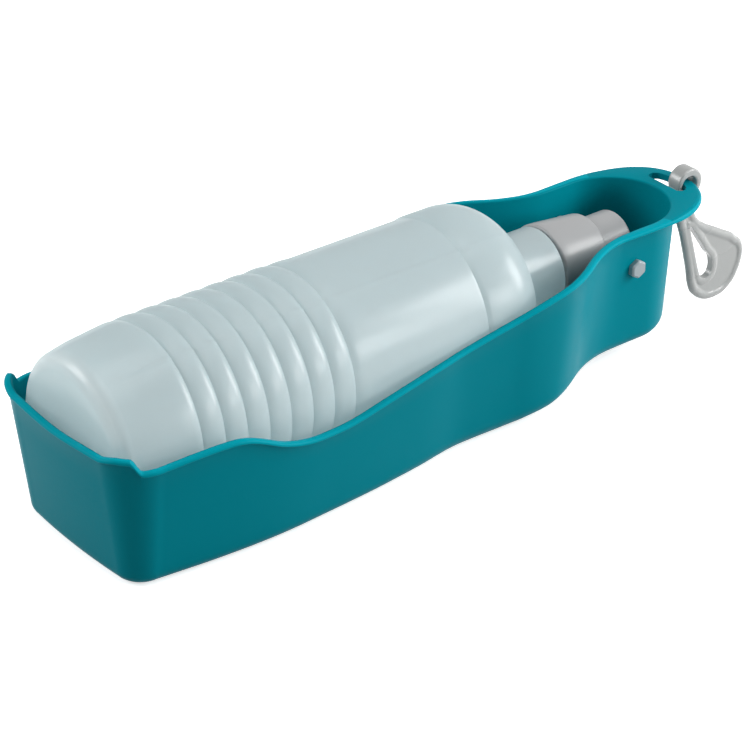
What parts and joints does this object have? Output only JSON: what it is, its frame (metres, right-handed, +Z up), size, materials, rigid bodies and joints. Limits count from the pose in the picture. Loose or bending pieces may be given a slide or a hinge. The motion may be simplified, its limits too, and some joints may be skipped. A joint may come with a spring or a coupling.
{
  "type": "dog travel water bottle",
  "caption": "Ribbed squeeze bottle on a rotary valve that folds down into a waisted trough-shaped drinking dish, with a carry clip hanging in the slotted flange.",
  "frame": {"origin": "on the flat underside of the trough, in its symmetry plane, near mid length", "axes": "+X from the bottle's base to the pivot end, +Z up out of the trough, Y across"},
  "size_m": [0.3109, 0.0868, 0.0749],
  "materials": {
    "trough_plastic": "satin teal moulded polypropylene",
    "pin_plastic": "light grey moulded plastic",
    "seal_rubber": "black rubber",
    "cap_plastic": "silver grey plastic",
    "gasket_rubber": "white soft rubber",
    "bottle_plastic": "frosted translucent polyethylene",
    "clip_plastic": "silver grey plastic"
  },
  "bodies": {
    "trough": {"trough": "trough_plastic", "valve_spindle": "pin_plastic", "spindle_seal_near": "seal_rubber", "spindle_seal_far": "seal_rubber"},
    "valve": {"valve_housing": "cap_plastic", "screw_cap": "cap_plastic"},
    "seal": {"cap_gasket": "gasket_rubber"},
    "bottle": {"bottle": "bottle_plastic"},
    "clip": {"carry_clip": "clip_plastic"},
    "gate": {"clip_gate": "clip_plastic"}
  },
  "joints": [
    {"name": "bottle_swing", "type": "hinge", "parent": "trough", "child": "valve", "pos_m": [0.0978, 0, 0.0408], "axis": [0, 1, 0], "range_deg": [0, 115]},
    {"name": "bottle_twist", "type": "hinge", "parent": "valve", "child": "seal", "pos_m": [0.087, 0, 0.0408], "axis": [-1, 0, 0], "range_deg": [0, 90]},
    {"name": "bottle_travel", "type": "slide", "parent": "seal", "child": "bottle", "axis": [-1, 0, 0], "range_m": [0, 0.000752]},
    {"name": "clip_swing", "type": "hinge", "parent": "trough", "child": "clip", "pos_m": [0.13924, -0.0027, 0.05475], "axis": [0, 1, 0], "range_deg": [-100, 20]},
    {"name": "clip_gate", "type": "hinge", "parent": "clip", "child": "gate", "pos_m": [0.141, -0.0027, 0.03565], "axis": [0, -1, 0], "range_deg": [0, 8], "stiffness_Nm_per_rad": 0.3}
  ],
  "couplings": [
    {"joint": "bottle_travel", "follows": "bottle_twist", "m_per_rad": 0.00047746}
  ]
}
